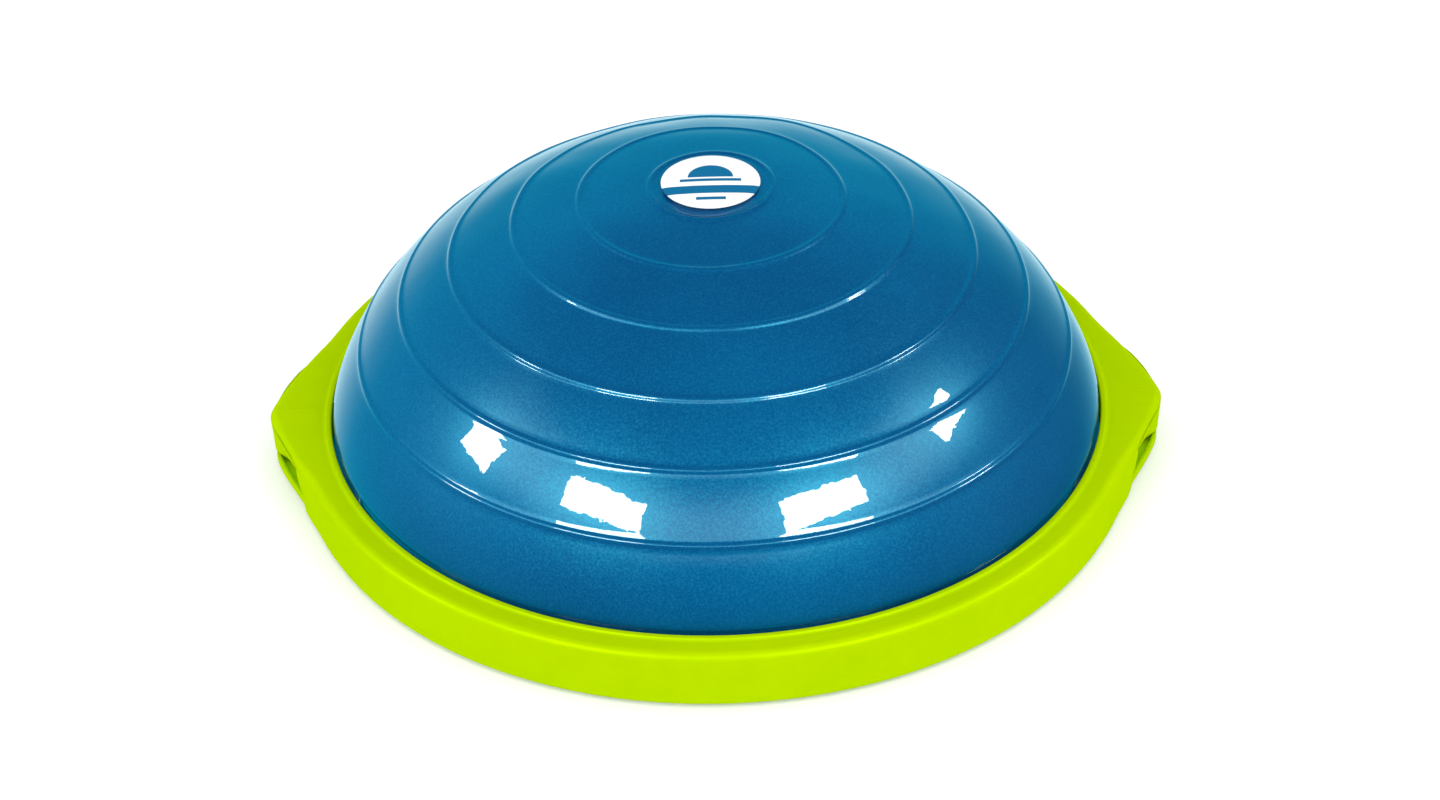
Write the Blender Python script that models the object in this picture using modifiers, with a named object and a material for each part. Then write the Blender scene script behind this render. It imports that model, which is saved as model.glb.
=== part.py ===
"""Balance dome trainer: a ribbed, inflated PVC half-ball clamped in a round platform with two hand holds.

Metres, +Z up. The origin is on the floor under the middle of the dome. The hand holds lie along X.
The platform is two mouldings, a rim cover and a base plate, screwed together round the bladder's bead.
"""

import math

import bmesh
import bpy
from mathutils import Matrix

# Platform
RIM_RADIUS = 0.250
RIM_WALL = 0.003
RIM_TOP_Z = 0.0369
LIP_TOP_Z = 0.0382
SHOULDER = 0.005
UNDERSIDE_Z = 0.002
COLLAR_BOTTOM_Z = 0.0193
COLLAR_WALL = 0.0023
LIP_GAP = 0.001
LIP_WIDTH = 0.002
LIP_FOOT = 0.0012
INSIDE_FILLET = 0.003
FOOT_EDGE_HEIGHT = 0.003

# Dome bladder
DOME_RADIUS = 0.2313
DOME_SPRING_Z = 0.0372
DOME_TOP_Z = 0.1923
DOME_POWER_R = 2.16
DOME_POWER_Z = 1.5
BLADDER_WALL = 0.0035
FLOOR_THICKNESS = 0.003
BEAD_RADIUS = 0.2355
BEAD_HEIGHT = 0.006
BEAD_INNER_RADIUS = 0.2262
BOSS_FILLET = 0.004
RIB_RADII = (0.0365, 0.0782, 0.1173, 0.1552, 0.1860, 0.2123)
RIB_HEIGHT = 0.0015
RIB_HALF_WIDTH = 0.0036
RIB_FLAT_SHARE = 0.45
RIB_FLAT_HEIGHT = 0.8 * RIB_HEIGHT
PLAIN_STRETCH = 0.12
INNER_TURNS = 9
TURNS_BELOW_LAST_RIB = 3

# Label on the crown
LABEL_RADIUS = 0.0294
LABEL_THICKNESS = 0.0007
LABEL_MARGIN = 0.0006

# Hand holds: the outline falls away from its tip as the hand hold nears the rim
HOLD_TIP_X = 0.2696
HOLD_TIP_ROUND = 0.0118
HOLD_FLANK_SLOPE = 0.30
HOLD_FLANK_CURVE = 2.14
HOLD_DRAFT = 0.0045
HOLD_ROOT_RADIUS = 0.2485
HOLD_ROOT_STEP = 0.0001
HOLD_POINTS = 21
HOLD_SHOULDER = ((0.0, 0.005), (0.0010, 0.0024), (0.0026, 0.0007), (0.0046, 0.0))
SLOT_HALF_LENGTH = 0.062
SLOT_HALF_LENGTH_BELOW = 0.054
SLOT_INNER_X = 0.241
SLOT_TOP_Z = 0.033
SLOT_CORNER = 0.006
SLOT_CORNER_POINTS = 4
SLOT_BACK_WALL = 0.003
SILL_TOP_Z = 0.0075
SILL_WALL = 0.0026
SILL_SIDE_GAP = 0.0005
SILL_ROOT = 0.010

# Base plate
DECK_THICKNESS = 0.003
DECK_RADIUS = 0.2465
DECK_REBATE_RADIUS = 0.2477
RIB_TOP_Z = 0.0127
RING_RIBS = ((0.095, 0.098), (0.160, 0.163))
BEAD_SEAT = (0.226, 0.232)
WELL_RADIUS = 0.024
WELL_WALL = 0.003
RADIAL_RIB_WIDTH = 0.0024
RADIAL_RIB_DROP = 0.0005

# Fasteners and feet
SCREW_COUNT = 12
SCREW_CIRCLE = 0.241
SCREW_FIRST_ANGLE = math.radians(15)
SCREW_HEAD_RADIUS = 0.0039
SCREW_HEAD_HEIGHT = 0.0024
SCREW_HEAD_Z = 0.0023
SCREW_SHANK_RADIUS = 0.0019
SCREW_TIP_Z = 0.022
SCREW_TIP_LENGTH = 0.003
SCREW_DIMPLE_RADIUS = 0.0014
SCREW_DIMPLE_DEPTH = 0.0012
BOSS_RADIUS = 0.004
PAD_RADIUS = 0.0048
PAD_TOP_Z = 0.008
PILOT_TOP_Z = 0.024
FOOT_COUNT = 8
FOOT_CIRCLE = 0.220
FOOT_FIRST_ANGLE = math.radians(22.5)
FOOT_RADIUS = 0.013
FOOT_SEAT_DEPTH = 0.001

# Valve
VALVE_HOLE_RADIUS = 0.010
VALVE_BOSS_RADIUS = 0.022
VALVE_BORE = 0.0036
VALVE_FLANGE_RADIUS = 0.016
VALVE_FLANGE_Z = 0.0102
VALVE_TOP_Z = 0.0215
PLUG_STEM_RADIUS = 0.0033
PLUG_FLANGE_RADIUS = 0.0115
PLUG_FLANGE_THICKNESS = 0.0022
PLUG_PULL_RADIUS = 0.0045
PLUG_BOTTOM_Z = 0.0045
PLUG_TIP_Z = 0.0240
PLUG_TIP_LENGTH = 0.003
PLUG_TIP_TAPER = 0.0012

# Shared details
GAP = 0.0003
EDGE = 0.001
FINE_EDGE = 0.0008
CUT_REACH = 0.001
LONG_REACH = 0.010
TURN_STEPS = 48
MIDDLE_STEPS = 24
PLUG_STEPS = 20
SMALL_STEPS = 12
MERGE = 0.00001
TURN_STEP = 1e-4

LIME = (0.47, 0.76, 0.0, 1.0)
DOME_BLUE = (0.0, 0.13, 0.36, 1.0)
LABEL_WHITE = (0.86, 0.87, 0.88, 1.0)
FOOT_GREY = (0.03, 0.03, 0.032, 1.0)
VALVE_BLUE = (0.01, 0.10, 0.27, 1.0)
PLUG_WHITE = (0.80, 0.80, 0.78, 1.0)
STEEL = (0.55, 0.56, 0.58, 1.0)


def clear_scene():
    """Removes the objects that a new scene starts with."""
    for obj in list(bpy.data.objects):
        bpy.data.objects.remove(obj)


def new_collection(name):
    collection = bpy.data.collections.new(name)
    bpy.context.scene.collection.children.link(collection)
    return collection


def make_material(name, colour, roughness, metallic=0.0):
    material = bpy.data.materials.new(name)
    material.use_nodes = True
    shader = material.node_tree.nodes["Principled BSDF"]
    shader.inputs["Base Color"].default_value = colour
    shader.inputs["Roughness"].default_value = roughness
    shader.inputs["Metallic"].default_value = metallic
    material.diffuse_color = colour
    return material


def add_object(name, mesh, collection, material=None):
    obj = bpy.data.objects.new(name, mesh)
    collection.objects.link(obj)
    if material:
        mesh.materials.append(material)
    return obj


def add_turned(name, profile, collection, material=None, steps=TURN_STEPS, closed=False):
    """A solid turned round Z from (radius, height) points that run down its outer side."""
    mesh = bpy.data.meshes.new(name)
    edges = [(i, i + 1) for i in range(len(profile) - 1)]
    if closed:
        edges.append((len(profile) - 1, 0))
    mesh.from_pydata([(r, 0.0, z) for r, z in profile], edges, [])
    obj = add_object(name, mesh, collection, material)
    screw = obj.modifiers.new("Turn", "SCREW")
    screw.axis = "Z"
    screw.steps = steps
    screw.render_steps = steps
    screw.use_merge_vertices = True
    screw.merge_threshold = MERGE
    screw.use_smooth_shade = True
    return obj


def as_helper(obj):
    """A solid that only adds to or cuts another one."""
    obj.hide_render = True
    obj.display_type = "WIRE"
    return obj


def boolean(obj, other, operation, solver="EXACT"):
    modifier = obj.modifiers.new(f"{operation.title()} {other.name}", "BOOLEAN")
    modifier.operation = operation
    modifier.solver = solver
    modifier.object = other


def arc(centre, radius, start, end, count):
    """Points (r, z) on an arc from start to end degrees, ends included."""
    points = []
    for i in range(count):
        angle = math.radians(start + (end - start) * i / (count - 1))
        points.append((centre[0] + radius * math.cos(angle), centre[1] + radius * math.sin(angle)))
    return points


def ring_places(count, radius, first_angle):
    """(x, y) of each place on a circle."""
    places = []
    for i in range(count):
        angle = first_angle + 2 * math.pi * i / count
        places.append((radius * math.cos(angle), radius * math.sin(angle)))
    return places


def add_cylinders(name, places, radius, low, high, collection, segments=SMALL_STEPS):
    """Upright cylinders at each (x, y), in one mesh."""
    bm = bmesh.new()
    for x, y in places:
        made = bmesh.ops.create_cone(
            bm, cap_ends=True, segments=segments, radius1=radius, radius2=radius, depth=high - low
        )
        bmesh.ops.translate(bm, verts=made["verts"], vec=(x, y, (low + high) / 2))
    mesh = bpy.data.meshes.new(name)
    bm.to_mesh(mesh)
    bm.free()
    return as_helper(add_object(name, mesh, collection))


def dome_point(turn, offset=0.0):
    """(r, z) on the dome's outer section, moved along its outward normal. Turn runs from 0 at the crown
    to a right angle at the rim."""
    height = DOME_TOP_Z - DOME_SPRING_Z

    def bare(t):
        r = DOME_RADIUS * math.sin(t) ** (2 / DOME_POWER_R)
        return r, DOME_SPRING_Z + height * max(math.cos(t), 0.0) ** (2 / DOME_POWER_Z)

    r, z = bare(turn)
    if offset == 0.0:
        return r, z
    ahead = bare(min(turn + TURN_STEP, math.pi / 2))
    behind = bare(max(turn - TURN_STEP, 0.0))
    along = (ahead[0] - behind[0], ahead[1] - behind[1])
    length = math.hypot(*along)
    normal = (-along[1] / length, along[0] / length)
    if turn <= TURN_STEP:
        normal = (0.0, 1.0)
    return max(r + offset * normal[0], 0.0), z + offset * normal[1]


def turn_at_radius(radius):
    return math.asin((radius / DOME_RADIUS) ** (DOME_POWER_R / 2))


def turn_step_for(turn, distance):
    """How far turn moves for a distance along the section."""
    here, there = dome_point(turn), dome_point(turn + TURN_STEP)
    return distance * TURN_STEP / math.hypot(there[0] - here[0], there[1] - here[1])


def dome_stations():
    """(turn, offset) down the outer side: each raised ring is a rounded ridge between plain stretches."""
    stations = [(0.0, 0.0), (turn_at_radius(LABEL_RADIUS), 0.0)]
    last = stations[-1][0]
    for radius in RIB_RADII:
        turn = turn_at_radius(radius)
        half = turn_step_for(turn, RIB_HALF_WIDTH)
        if turn - half - last > PLAIN_STRETCH:
            stations.append(((last + turn - half) / 2, 0.0))
        stations.append((turn - half, 0.0))
        stations.append((turn - RIB_FLAT_SHARE * half, RIB_FLAT_HEIGHT))
        stations.append((turn + RIB_FLAT_SHARE * half, RIB_FLAT_HEIGHT))
        stations.append((turn + half, 0.0))
        last = turn + half
    for i in range(1, TURNS_BELOW_LAST_RIB + 1):
        stations.append((last + (math.pi / 2 - last) * i / TURNS_BELOW_LAST_RIB, 0.0))
    return stations


def make_bladder(parts, material):
    floor_z = RIB_TOP_Z + GAP
    bead_top = floor_z + BEAD_HEIGHT
    floor_top = floor_z + FLOOR_THICKNESS
    profile = [dome_point(turn, offset) for turn, offset in dome_stations()]
    profile += [(DOME_RADIUS, bead_top), (BEAD_RADIUS - EDGE, bead_top), (BEAD_RADIUS, bead_top - EDGE)]
    profile += [(BEAD_RADIUS, floor_z), (VALVE_HOLE_RADIUS, floor_z), (VALVE_HOLE_RADIUS, bead_top)]
    profile += [(VALVE_BOSS_RADIUS, bead_top), (VALVE_BOSS_RADIUS + BOSS_FILLET, floor_top)]
    profile += [(BEAD_INNER_RADIUS, floor_top)]
    for i in range(INNER_TURNS, -1, -1):
        turn = math.pi / 2 * i / INNER_TURNS
        profile.append(dome_point(turn, -BLADDER_WALL))
    return add_turned("dome_bladder", profile, parts, material)


def make_label(parts, material):
    edge = turn_at_radius(LABEL_RADIUS - LABEL_MARGIN)
    turns = [0.0, edge]
    top = [dome_point(turn, GAP + LABEL_THICKNESS) for turn in turns]
    bottom = [dome_point(turn, GAP) for turn in reversed(turns)]
    return add_turned("dome_label", top + bottom, parts, material)


def hold_drop(y):
    """How far the hand hold's outline has fallen back from its tip at a distance y from the middle."""
    tip = math.sqrt(y * y + HOLD_TIP_ROUND**2) - HOLD_TIP_ROUND
    return HOLD_FLANK_SLOPE * tip + HOLD_FLANK_CURVE * y * y


def hold_outline(inset, inner_x, half_length=None):
    """Corner points (x, y) of the hand hold, from one root round the tip to the other, then back
    along a straight inner edge."""
    tip_x = HOLD_TIP_X - inset
    end = half_length
    if end is None:
        end = 0.0
        while math.hypot(tip_x - hold_drop(end), end) > HOLD_ROOT_RADIUS:
            end += HOLD_ROOT_STEP
    points = []
    for i in range(HOLD_POINTS + 1):
        y = -end * math.cos(math.pi * i / HOLD_POINTS)
        points.append((tip_x - hold_drop(y), y))
    return points + [(inner_x, end), (inner_x, -end)]


def add_stack(name, levels, side, collection):
    """A solid lofted through flat outlines at rising heights. Side is 1 for +X and -1 for -X."""
    bm = bmesh.new()
    rows = []
    for outline, z in levels:
        rows.append([bm.verts.new((side * x, y, z)) for x, y in outline])
    for low, high in zip(rows, rows[1:]):
        for i in range(len(low)):
            j = (i + 1) % len(low)
            bm.faces.new((low[i], low[j], high[j], high[i]))
    bm.faces.new(rows[0][::-1])
    bm.faces.new(rows[-1])
    bmesh.ops.recalc_face_normals(bm, faces=bm.faces)
    mesh = bpy.data.meshes.new(name)
    bm.to_mesh(mesh)
    bm.free()
    return as_helper(add_object(name, mesh, collection))


def add_slot_cutter(name, side, collection):
    """The finger slot: a deep pocket, open outwards and downwards, with rounded inner corners."""
    outer_x = HOLD_TIP_X + LONG_REACH
    levels = []
    for half_length, z in ((SLOT_HALF_LENGTH_BELOW, -CUT_REACH), (SLOT_HALF_LENGTH, SLOT_TOP_Z)):
        centre = (SLOT_INNER_X + SLOT_CORNER, half_length - SLOT_CORNER)
        corner = arc(centre, SLOT_CORNER, 90, 180, SLOT_CORNER_POINTS)
        outline = [(outer_x, -half_length), (outer_x, half_length)] + corner
        outline += [(x, -y) for x, y in reversed(corner)]
        levels.append((outline, z))
    return add_stack(name, levels, side, collection)


def rim_profile():
    """The rim cover's section: lip, flat top, shoulder, outer wall, then back along the inside."""
    lip_inner = DOME_RADIUS + LIP_GAP
    lip_outer = lip_inner + EDGE + LIP_WIDTH
    collar_outer = lip_inner + COLLAR_WALL
    shoulder_centre = (RIM_RADIUS - SHOULDER, RIM_TOP_Z - SHOULDER)
    under_top = RIM_TOP_Z - RIM_WALL
    inner_wall = RIM_RADIUS - RIM_WALL
    profile = [(lip_inner, LIP_TOP_Z - EDGE), (lip_inner + EDGE, LIP_TOP_Z)]
    profile += [(lip_outer, LIP_TOP_Z), (lip_outer + LIP_FOOT, RIM_TOP_Z)]
    profile += arc(shoulder_centre, SHOULDER, 90, 0, 5)
    profile += [(RIM_RADIUS, UNDERSIDE_Z + FOOT_EDGE_HEIGHT), (RIM_RADIUS - EDGE, UNDERSIDE_Z)]
    profile += [(inner_wall, UNDERSIDE_Z), (inner_wall, under_top - INSIDE_FILLET)]
    profile += [(inner_wall - INSIDE_FILLET, under_top)]
    profile += [(collar_outer, under_top), (collar_outer, COLLAR_BOTTOM_Z), (lip_inner, COLLAR_BOTTOM_Z)]
    return profile


def make_rim_cover(parts, helpers, material, screw_places):
    cover = add_turned("rim_cover", rim_profile(), parts, material, closed=True)
    inner_x = SLOT_INNER_X - SLOT_BACK_WALL
    top = RIM_TOP_Z - GAP
    levels = [(HOLD_DRAFT + EDGE, UNDERSIDE_Z), (HOLD_DRAFT, UNDERSIDE_Z + 2 * EDGE)]
    levels += [(inset, top - drop) for inset, drop in HOLD_SHOULDER]
    for label, side in (("right", 1), ("left", -1)):
        stack = [(hold_outline(inset, inner_x), z) for inset, z in levels]
        boolean(cover, add_stack(f"hold_{label}", stack, side, helpers), "UNION", "MANIFOLD")
    for label, side in (("right", 1), ("left", -1)):
        boolean(cover, add_slot_cutter(f"slot_{label}", side, helpers), "DIFFERENCE", "MANIFOLD")
    deck_top = UNDERSIDE_Z + DECK_THICKNESS + GAP
    room = add_cylinders(
        "deck_room", [(0, 0)], DECK_REBATE_RADIUS, -LONG_REACH, deck_top, helpers, segments=TURN_STEPS
    )
    boolean(cover, room, "DIFFERENCE", "MANIFOLD")
    sill_room = hold_outline(-GAP, DECK_RADIUS - SILL_ROOT, SLOT_HALF_LENGTH_BELOW)
    for label, side in (("right", 1), ("left", -1)):
        stack = [(sill_room, -LONG_REACH), (sill_room, deck_top)]
        boolean(cover, add_stack(f"sill_room_{label}", stack, side, helpers), "DIFFERENCE", "MANIFOLD")
    boss_top = RIM_TOP_Z - RIM_WALL / 2
    bosses = add_cylinders("bosses", screw_places, BOSS_RADIUS, PAD_TOP_Z + GAP, boss_top, helpers)
    pilot_radius = SCREW_SHANK_RADIUS + GAP
    pilots = add_cylinders("pilots", screw_places, pilot_radius, 0.0, PILOT_TOP_Z, helpers)
    boolean(cover, bosses, "UNION", "MANIFOLD")
    boolean(cover, pilots, "DIFFERENCE", "MANIFOLD")
    return cover


def base_profile():
    """The base plate's section: valve well, deck, ring ribs and bead seat."""
    deck_top = UNDERSIDE_Z + DECK_THICKNESS
    well_outer = WELL_RADIUS + WELL_WALL
    profile = [(WELL_RADIUS, RIB_TOP_Z), (well_outer, RIB_TOP_Z), (well_outer, deck_top)]
    for inner, outer in (*RING_RIBS, BEAD_SEAT):
        profile += [(inner, deck_top), (inner, RIB_TOP_Z), (outer, RIB_TOP_Z), (outer, deck_top)]
    profile += [(DECK_RADIUS, deck_top), (DECK_RADIUS, UNDERSIDE_Z), (WELL_RADIUS, UNDERSIDE_Z)]
    return profile


def add_radial_ribs(collection):
    """Straight ribs from the valve well to the bead seat, in one mesh."""
    bm = bmesh.new()
    inner, outer = WELL_RADIUS + WELL_WALL / 2, sum(BEAD_SEAT) / 2
    low, high = UNDERSIDE_Z + DECK_THICKNESS / 2, RIB_TOP_Z - RADIAL_RIB_DROP
    for i in range(SCREW_COUNT // 2):
        angle = SCREW_FIRST_ANGLE + 2 * math.pi * i / (SCREW_COUNT // 2)
        made = bmesh.ops.create_cube(bm, size=1.0)
        size = (outer - inner, RADIAL_RIB_WIDTH, high - low)
        bmesh.ops.scale(bm, verts=made["verts"], vec=size)
        bmesh.ops.translate(bm, verts=made["verts"], vec=((inner + outer) / 2, 0, (low + high) / 2))
        spin = Matrix.Rotation(angle, 3, "Z")
        bmesh.ops.rotate(bm, verts=made["verts"], cent=(0, 0, 0), matrix=spin)
    mesh = bpy.data.meshes.new("radial_ribs")
    bm.to_mesh(mesh)
    bm.free()
    return as_helper(add_object("radial_ribs", mesh, collection))


def make_base_plate(parts, helpers, material, screw_places, foot_places):
    base = add_turned("base_plate", base_profile(), parts, material, closed=True)
    boolean(base, add_radial_ribs(helpers), "UNION")
    half_length = SLOT_HALF_LENGTH_BELOW - SILL_SIDE_GAP
    deck_top = UNDERSIDE_Z + DECK_THICKNESS
    root_x = DECK_RADIUS - SILL_ROOT
    for label, side in (("right", 1), ("left", -1)):
        outer = hold_outline(HOLD_DRAFT, root_x, half_length)
        edge = hold_outline(HOLD_DRAFT + EDGE, root_x, half_length)
        stack = [(edge, UNDERSIDE_Z), (outer, UNDERSIDE_Z + EDGE), (outer, SILL_TOP_Z)]
        boolean(base, add_stack(f"sill_{label}", stack, side, helpers), "UNION")
        inside = hold_outline(HOLD_DRAFT + SILL_WALL, root_x - SILL_ROOT, half_length + CUT_REACH)
        pocket = [(inside, deck_top), (inside, SILL_TOP_Z + CUT_REACH)]
        boolean(base, add_stack(f"sill_pocket_{label}", pocket, side, helpers), "DIFFERENCE")
    pads = add_cylinders("pads", screw_places, PAD_RADIUS, UNDERSIDE_Z + EDGE, PAD_TOP_Z, helpers)
    boolean(base, pads, "UNION")
    hole_radius = SCREW_SHANK_RADIUS + GAP
    head_radius = SCREW_HEAD_RADIUS + GAP
    head_top = SCREW_HEAD_Z + SCREW_HEAD_HEIGHT + GAP
    hole_top = PAD_TOP_Z + CUT_REACH
    holes = add_cylinders("screw_holes", screw_places, hole_radius, -CUT_REACH, hole_top, helpers)
    sinks = add_cylinders("screw_sinks", screw_places, head_radius, -CUT_REACH, head_top, helpers)
    boolean(base, holes, "DIFFERENCE")
    boolean(base, sinks, "DIFFERENCE")
    seat_top = UNDERSIDE_Z + FOOT_SEAT_DEPTH
    seat_radius = FOOT_RADIUS + GAP
    seats = add_cylinders(
        "foot_seats", foot_places, seat_radius, -CUT_REACH, seat_top, helpers, segments=MIDDLE_STEPS
    )
    boolean(base, seats, "DIFFERENCE")
    return base


def make_valve_body(parts, material):
    floor_z = RIB_TOP_Z + GAP
    neck = VALVE_HOLE_RADIUS - GAP
    profile = [(VALVE_BORE, VALVE_TOP_Z), (neck - EDGE, VALVE_TOP_Z), (neck, VALVE_TOP_Z - EDGE)]
    profile += [(neck, floor_z - GAP), (VALVE_FLANGE_RADIUS, floor_z - GAP)]
    profile += [(VALVE_FLANGE_RADIUS, VALVE_FLANGE_Z + FINE_EDGE)]
    profile += [(VALVE_FLANGE_RADIUS - FINE_EDGE, VALVE_FLANGE_Z), (VALVE_BORE, VALVE_FLANGE_Z)]
    return add_turned("valve_body", profile, parts, material, steps=MIDDLE_STEPS, closed=True)


def make_valve_plug(parts, material):
    flange_top = VALVE_FLANGE_Z - GAP
    flange_bottom = flange_top - PLUG_FLANGE_THICKNESS
    profile = [(0.0, PLUG_TIP_Z), (PLUG_STEM_RADIUS - PLUG_TIP_TAPER, PLUG_TIP_Z)]
    profile += [(PLUG_STEM_RADIUS, PLUG_TIP_Z - PLUG_TIP_LENGTH)]
    profile += [(PLUG_STEM_RADIUS, flange_top), (PLUG_FLANGE_RADIUS, flange_top)]
    profile += [(PLUG_FLANGE_RADIUS, flange_bottom + FINE_EDGE)]
    profile += [(PLUG_FLANGE_RADIUS - FINE_EDGE, flange_bottom)]
    profile += [(PLUG_PULL_RADIUS - EDGE, flange_bottom), (PLUG_PULL_RADIUS, PLUG_BOTTOM_Z + EDGE)]
    profile += [(PLUG_PULL_RADIUS - EDGE, PLUG_BOTTOM_Z), (0.0, PLUG_BOTTOM_Z)]
    return add_turned("valve_plug", profile, parts, material, steps=PLUG_STEPS)


def make_screws(parts, material, places):
    head_top = SCREW_HEAD_Z + SCREW_HEAD_HEIGHT
    profile = [(0.0, SCREW_TIP_Z), (SCREW_SHANK_RADIUS, SCREW_TIP_Z - SCREW_TIP_LENGTH)]
    profile += [(SCREW_SHANK_RADIUS, head_top), (SCREW_HEAD_RADIUS, head_top)]
    profile += [(SCREW_HEAD_RADIUS, SCREW_HEAD_Z + FINE_EDGE), (SCREW_HEAD_RADIUS - EDGE, SCREW_HEAD_Z)]
    profile += [(SCREW_DIMPLE_RADIUS, SCREW_HEAD_Z), (0.0, SCREW_HEAD_Z + SCREW_DIMPLE_DEPTH)]
    for number, (x, y) in enumerate(places, start=1):
        screw = add_turned(f"screw_{number:02d}", profile, parts, material, steps=SMALL_STEPS)
        screw.location = (x, y, 0.0)


def make_feet(parts, material, places):
    top = UNDERSIDE_Z + FOOT_SEAT_DEPTH - GAP
    profile = [(0.0, top), (FOOT_RADIUS, top), (FOOT_RADIUS, FINE_EDGE)]
    profile += [(FOOT_RADIUS - FINE_EDGE, 0.0), (0.0, 0.0)]
    for number, (x, y) in enumerate(places, start=1):
        foot = add_turned(f"foot_{number:02d}", profile, parts, material, steps=MIDDLE_STEPS)
        foot.location = (x, y, 0.0)


def main():
    clear_scene()
    parts = new_collection("balance_dome_trainer")
    helpers = new_collection("cutters")
    lime = make_material("lime_platform", LIME, 0.35)
    base_lime = make_material("lime_base", LIME, 0.45)
    screw_places = ring_places(SCREW_COUNT, SCREW_CIRCLE, SCREW_FIRST_ANGLE)
    foot_places = ring_places(FOOT_COUNT, FOOT_CIRCLE, FOOT_FIRST_ANGLE)
    make_bladder(parts, make_material("dome_pvc", DOME_BLUE, 0.25))
    make_label(parts, make_material("label_print", LABEL_WHITE, 0.4))
    make_rim_cover(parts, helpers, lime, screw_places)
    make_base_plate(parts, helpers, base_lime, screw_places, foot_places)
    make_valve_body(parts, make_material("valve_rubber", VALVE_BLUE, 0.5))
    make_valve_plug(parts, make_material("plug_plastic", PLUG_WHITE, 0.4))
    make_screws(parts, make_material("screw_steel", STEEL, 0.3, 1.0), screw_places)
    make_feet(parts, make_material("foot_rubber", FOOT_GREY, 0.8), foot_places)


main()
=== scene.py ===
"""Looks of the balance dome trainer: a glossy blue ribbed dome in a lime platform with two hand holds.

Metres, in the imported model's frame. The hand holds lie along X, and the camera looks along +Y.
Each visible piece is a fine mesh that stands for its CAD node, with a procedural material.
"""

import math

import bmesh
import bpy
from mathutils import Matrix, Vector, noise


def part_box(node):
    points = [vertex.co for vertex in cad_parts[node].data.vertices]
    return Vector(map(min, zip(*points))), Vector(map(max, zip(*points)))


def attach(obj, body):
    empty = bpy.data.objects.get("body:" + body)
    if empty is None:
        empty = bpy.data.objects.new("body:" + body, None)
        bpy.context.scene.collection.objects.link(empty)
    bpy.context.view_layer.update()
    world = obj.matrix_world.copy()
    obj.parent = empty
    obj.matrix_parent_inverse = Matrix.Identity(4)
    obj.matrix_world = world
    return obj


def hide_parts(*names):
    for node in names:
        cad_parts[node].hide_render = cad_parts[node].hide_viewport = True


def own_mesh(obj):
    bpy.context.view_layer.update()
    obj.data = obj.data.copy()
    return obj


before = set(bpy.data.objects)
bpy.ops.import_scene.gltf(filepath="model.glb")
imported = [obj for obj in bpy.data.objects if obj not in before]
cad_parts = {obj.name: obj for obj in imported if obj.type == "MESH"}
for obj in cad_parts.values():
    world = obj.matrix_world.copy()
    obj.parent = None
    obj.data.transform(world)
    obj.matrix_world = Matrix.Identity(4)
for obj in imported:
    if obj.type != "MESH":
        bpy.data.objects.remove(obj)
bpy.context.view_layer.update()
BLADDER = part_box("dome_bladder")
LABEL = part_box("dome_label")
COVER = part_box("rim_cover")
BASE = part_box("base_plate")
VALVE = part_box("valve_body")
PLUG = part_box("valve_plug")
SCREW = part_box("screw_01")
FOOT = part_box("foot_01")

# Dome: its section is a superellipse above the spring line, with raised rounded rings
DOME_RADIUS = 0.2313
DOME_SPRING_Z = 0.0372
DOME_TOP_Z = BLADDER[1].z
DOME_POWER_R = 2.16
DOME_POWER_Z = 1.5
BLADDER_WALL = 0.0035
RIB_RADII = (0.0365, 0.0782, 0.1173, 0.1552, 0.1860, 0.2123)
RIB_HEIGHT = 0.0009
RIB_HALF_WIDTH = 0.0028
RIB_SAMPLES = 16
PLAIN_STEP = 0.0028
DOME_STEPS = 288
TUCK_DEPTH = 0.0022
TUCK_HEIGHT = 0.0038
UNDULATION = 0.00033
UNDULATION_SCALE = 11.0
UNDULATION_START = 0.009
CROWN_UNDULATION = 2.8
CROWN_HEIGHTS = (0.08, 0.14)
FINE_WAVE_SHARE = 0.5
FINE_WAVE_SCALE = 2.7
RIB_ROUNDNESS = 0.8
INNER_POINT_STEP = 6
TURN_STEP = 1e-4
LENGTH_STEPS = 3000

# Label on the crown
LABEL_THICKNESS = 0.0007
LABEL_RINGS = 14
LABEL_EDGE_DROP = 0.0003
LABEL_STEPS = 160
LABEL_EDGE_OUT = 0.00018
LABEL_EDGE_TOP = 0.0001
LABEL_EDGE_FOOT = 0.0003
LABEL_SEAT = 0.0002
LABEL_MIDDLE_SEAT = 0.0004

# Bead and floor of the bladder
BEAD_RADIUS = BLADDER[1].x
BEAD_HEIGHT = 0.006
BEAD_TOP_ROUND = 0.0015
BEAD_FOOT_ROUND = 0.001
BEAD_SHOULDER = 0.001
FLOOR_Z = BLADDER[0].z
FLOOR_THICKNESS = 0.003
VALVE_HOLE_RADIUS = 0.010
VALVE_BOSS_RADIUS = 0.022
VALVE_BOSS_FOOT = 0.026

# Rim cover
RIM_RADIUS = COVER[1].y
RIM_TOP_Z = 0.0369
LIP_TOP_Z = COVER[1].z
LIP_INNER = 0.2319
LIP_INNER_ROUND = 0.0012
LIP_OUTER_ROUND = 0.0009
LIP_CREST = 0.0028
LIP_FOOT = (0.0042, 0.0001)
LIP_GROOVE = (0.0054, -0.0002)
LIP_REACH = 0.0068
TOP_POINTS = 9
COLLAR_OUTER = 0.2346
COLLAR_BOTTOM_Z = 0.0193
COVER_BOTTOM_Z = COVER[0].z
COVER_WALL = 0.003
SHOULDER = 0.005
SHOULDER_LEAD = 0.0006
WALL_POINTS = 22
BOTTOM_ROUND = 0.0022
PLAIN_COLUMN_ANGLE = math.radians(0.9)

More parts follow.
